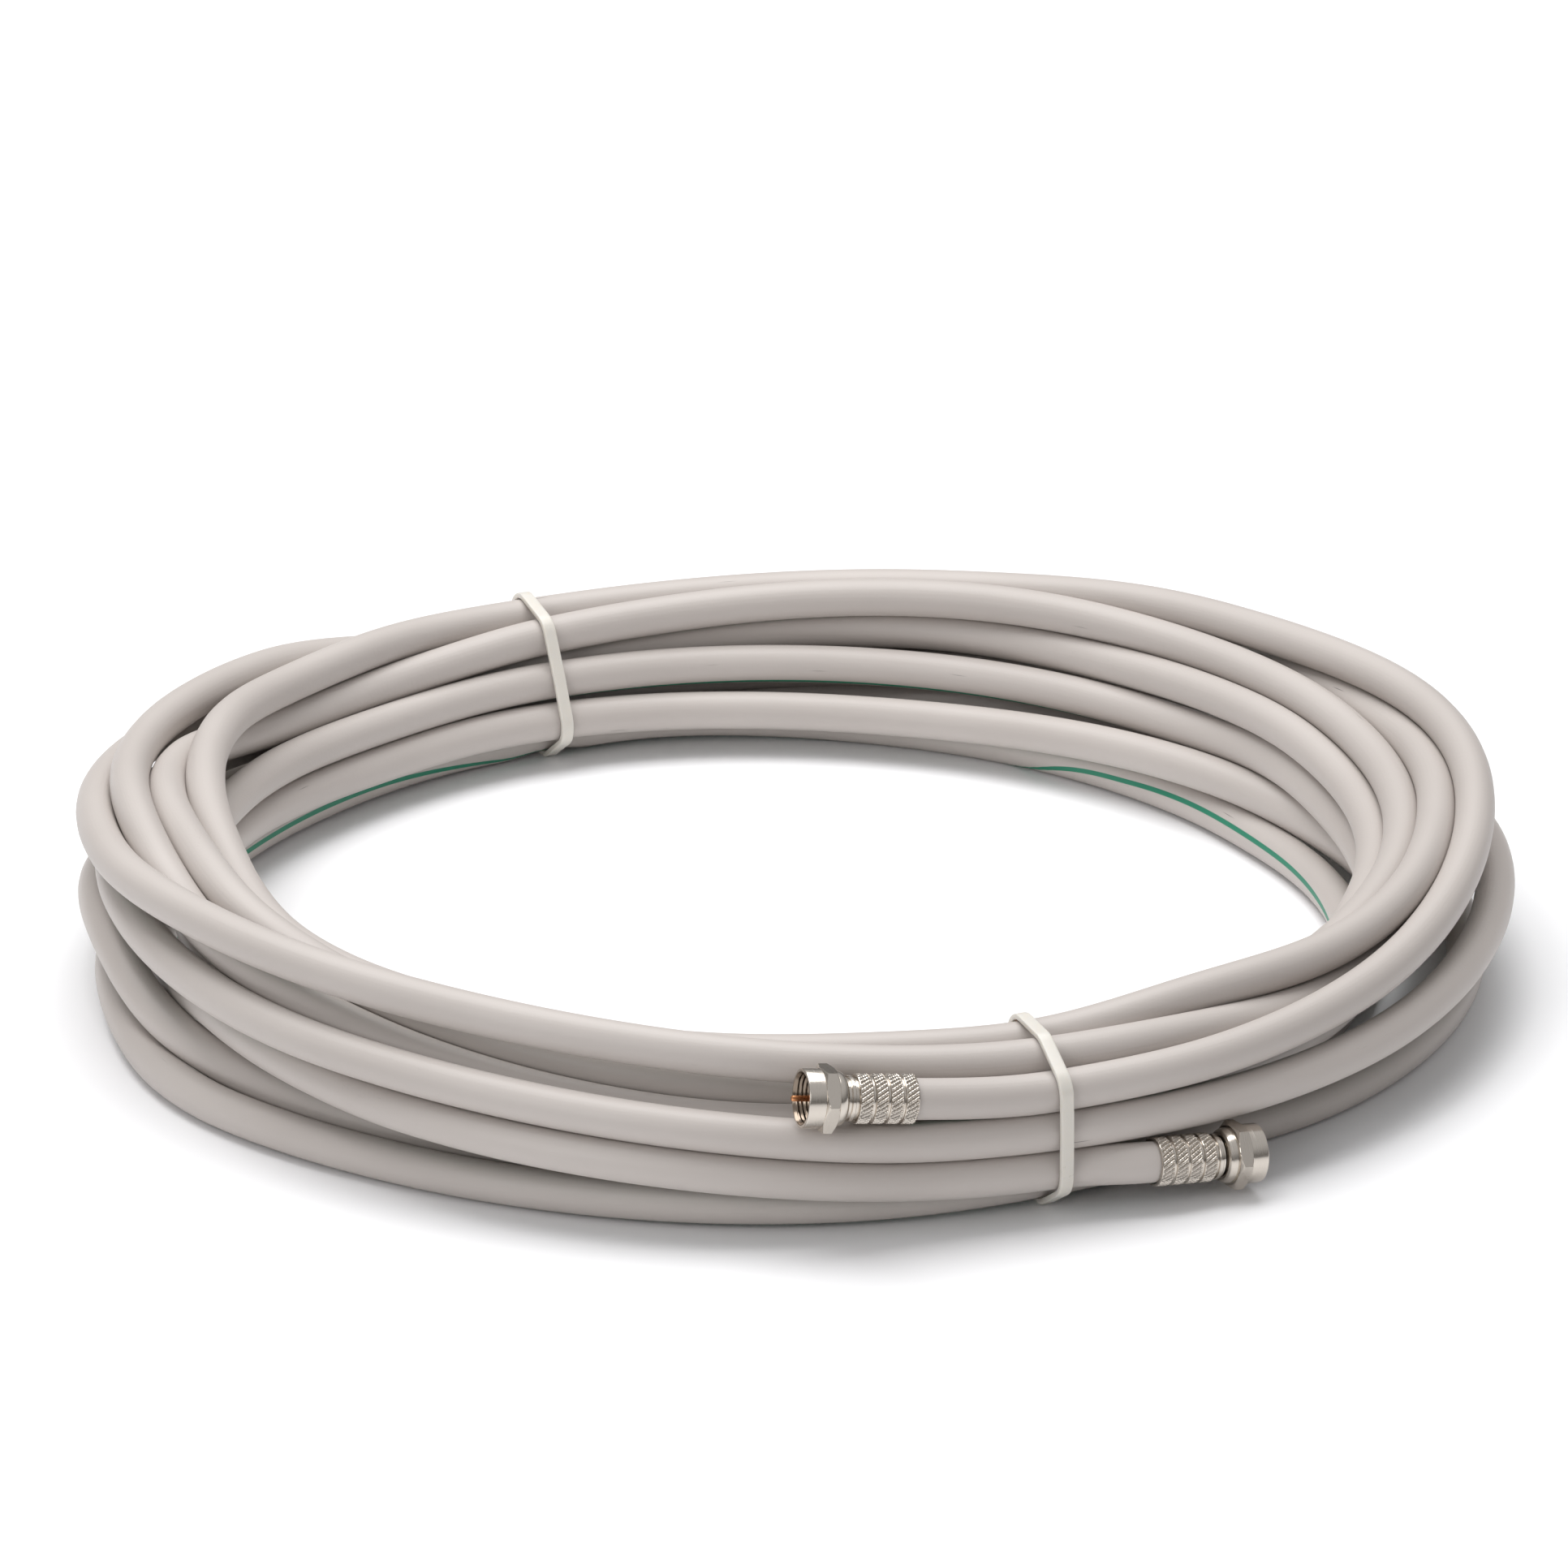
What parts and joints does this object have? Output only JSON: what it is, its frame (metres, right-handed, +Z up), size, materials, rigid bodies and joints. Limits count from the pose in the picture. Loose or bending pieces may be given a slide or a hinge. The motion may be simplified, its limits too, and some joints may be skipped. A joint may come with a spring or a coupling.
{
  "type": "coaxial cable coil",
  "caption": "Loose round coil of jacketed coaxial cable held by two nylon ties, with a knurled twist-on F connector on each end.",
  "frame": {"origin": "centre of the bounding box in plan, on the surface that the coil lies on", "axes": "+Z up along the coil's axis, +X to the right and +Y to the back as seen from the side with the two connectors"},
  "size_m": [0.2718, 0.2708, 0.0417],
  "materials": {
    "jacket": "satin warm light grey vinyl jacket with a thin green stripe",
    "tie_nylon": "natural nylon, slightly translucent",
    "nickel_plate": "nickel plated brass, knurled sleeve",
    "insulation": "white foamed insulation",
    "copper": "bare copper wire"
  },
  "bodies": {
    "coil": {"cable_coil": "jacket", "cable_tail_a": "jacket", "cable_tail_b": "jacket", "cable_tie_front": "tie_nylon", "cable_tie_back": "tie_nylon", "connector_body_a": "nickel_plate", "insulation_a": "insulation", "centre_wire_a": "copper", "connector_body_b": "nickel_plate", "insulation_b": "insulation", "centre_wire_b": "copper"},
    "nut_a": {"coupling_nut_a": "nickel_plate"},
    "nut_b": {"coupling_nut_b": "nickel_plate"}
  },
  "joints": [
    {"name": "nut_a_spin", "type": "hinge", "parent": "coil", "child": "nut_a", "pos_m": [0.00079, -0.1302, 0.02905], "axis": [-0.9527, -0.2761, 0.127], "continuous": true},
    {"name": "nut_b_spin", "type": "hinge", "parent": "coil", "child": "nut_b", "pos_m": [0.08287, -0.10428, 0.0069], "axis": [0.9144, 0.3948, -0.09], "continuous": true}
  ]
}
